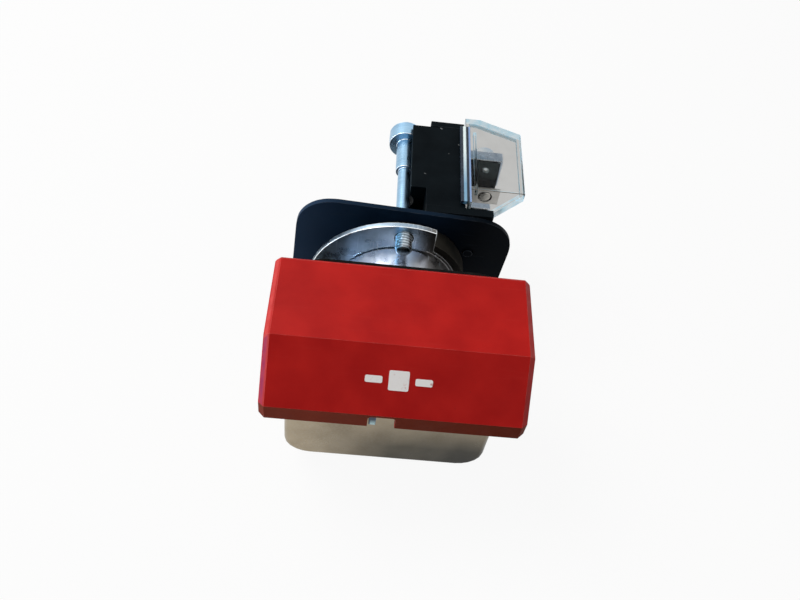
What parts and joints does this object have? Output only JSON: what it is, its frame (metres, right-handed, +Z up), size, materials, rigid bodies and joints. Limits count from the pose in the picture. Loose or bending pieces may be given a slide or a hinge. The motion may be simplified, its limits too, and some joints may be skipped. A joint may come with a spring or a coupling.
{
  "type": "emergency stop button",
  "caption": "Panel-mounted emergency stop button with a red rectangular hood cap, a clamped collar tube and a contact block behind the panel.",
  "frame": {"origin": "on the button's axis, in the plane of the panel's front face, where the gasket's rear face meets it", "axes": "+Y along the button's axis, into the panel, the way the cap is pushed; +Z up; +X to the right seen from the user's side"},
  "size_m": [0.0573, 0.0875, 0.045],
  "materials": {
    "red_plastic": "satin moulded red plastic, lightly worn",
    "brushed_steel": "drawn steel with a satin finish",
    "bright_zinc": "bright zinc plate",
    "bright_steel": "bright plated steel",
    "spring_steel": "drawn spring wire and strip",
    "nickel": "nickel plate",
    "brass": "plain brass",
    "black_rubber": "matt rubber",
    "black_plastic": "satin moulded black plastic",
    "black_enamel": "satin black enamel",
    "grey_plastic": "matt grey-brown plastic",
    "clear_plastic": "clear moulded plastic"
  },
  "bodies": {
    "base": {"front_housing": "brushed_steel", "housing_back_plate": "bright_zinc", "back_plate_screw_1": "bright_zinc", "back_plate_screw_2": "bright_zinc", "back_plate_screw_3": "bright_zinc", "back_plate_screw_4": "bright_zinc", "panel_gasket": "black_rubber", "collar_tube": "bright_zinc", "guide_bush": "black_plastic", "latch_spring": "spring_steel", "spring_washer": "bright_zinc", "return_spring": "spring_steel", "clamp_ring": "bright_zinc", "clamp_set_screw_upper": "bright_steel", "clamp_set_screw_lower": "bright_steel", "bayonet_ring": "grey_plastic", "carrier_plate": "black_enamel", "lock_screw": "bright_steel", "contact_housing": "black_plastic", "contact_lid": "black_plastic", "block_screw_upper": "black_enamel", "block_screw_lower": "black_enamel", "contact_spring": "spring_steel", "fixed_contact_upper": "nickel", "fixed_contact_lower": "nickel", "terminal_clamp_upper": "nickel", "terminal_clamp_lower": "nickel", "terminal_screw_upper": "nickel", "terminal_screw_lower": "nickel", "terminal_cover": "clear_plastic"},
    "push_head": {"push_cap": "red_plastic", "cap_clip": "spring_steel", "slide_carriage": "black_plastic", "actuator_stem": "bright_steel", "pusher_disc": "black_plastic", "stem_nut": "bright_steel"},
    "plunger": {"contact_plunger": "grey_plastic", "contact_bridge": "brass"}
  },
  "joints": [
    {"name": "cap_push", "type": "slide", "parent": "base", "child": "push_head", "axis": [0, 1, 0], "range_m": [0, 0.004], "deforming": ["return_spring", "latch_spring"]},
    {"name": "plunger_slide", "type": "slide", "parent": "base", "child": "plunger", "axis": [0, 1, 0], "range_m": [0, 0.004], "deforming": ["contact_spring"]}
  ],
  "couplings": [
    {"joint": "plunger_slide", "follows": "cap_push", "ratio": 1}
  ]
}
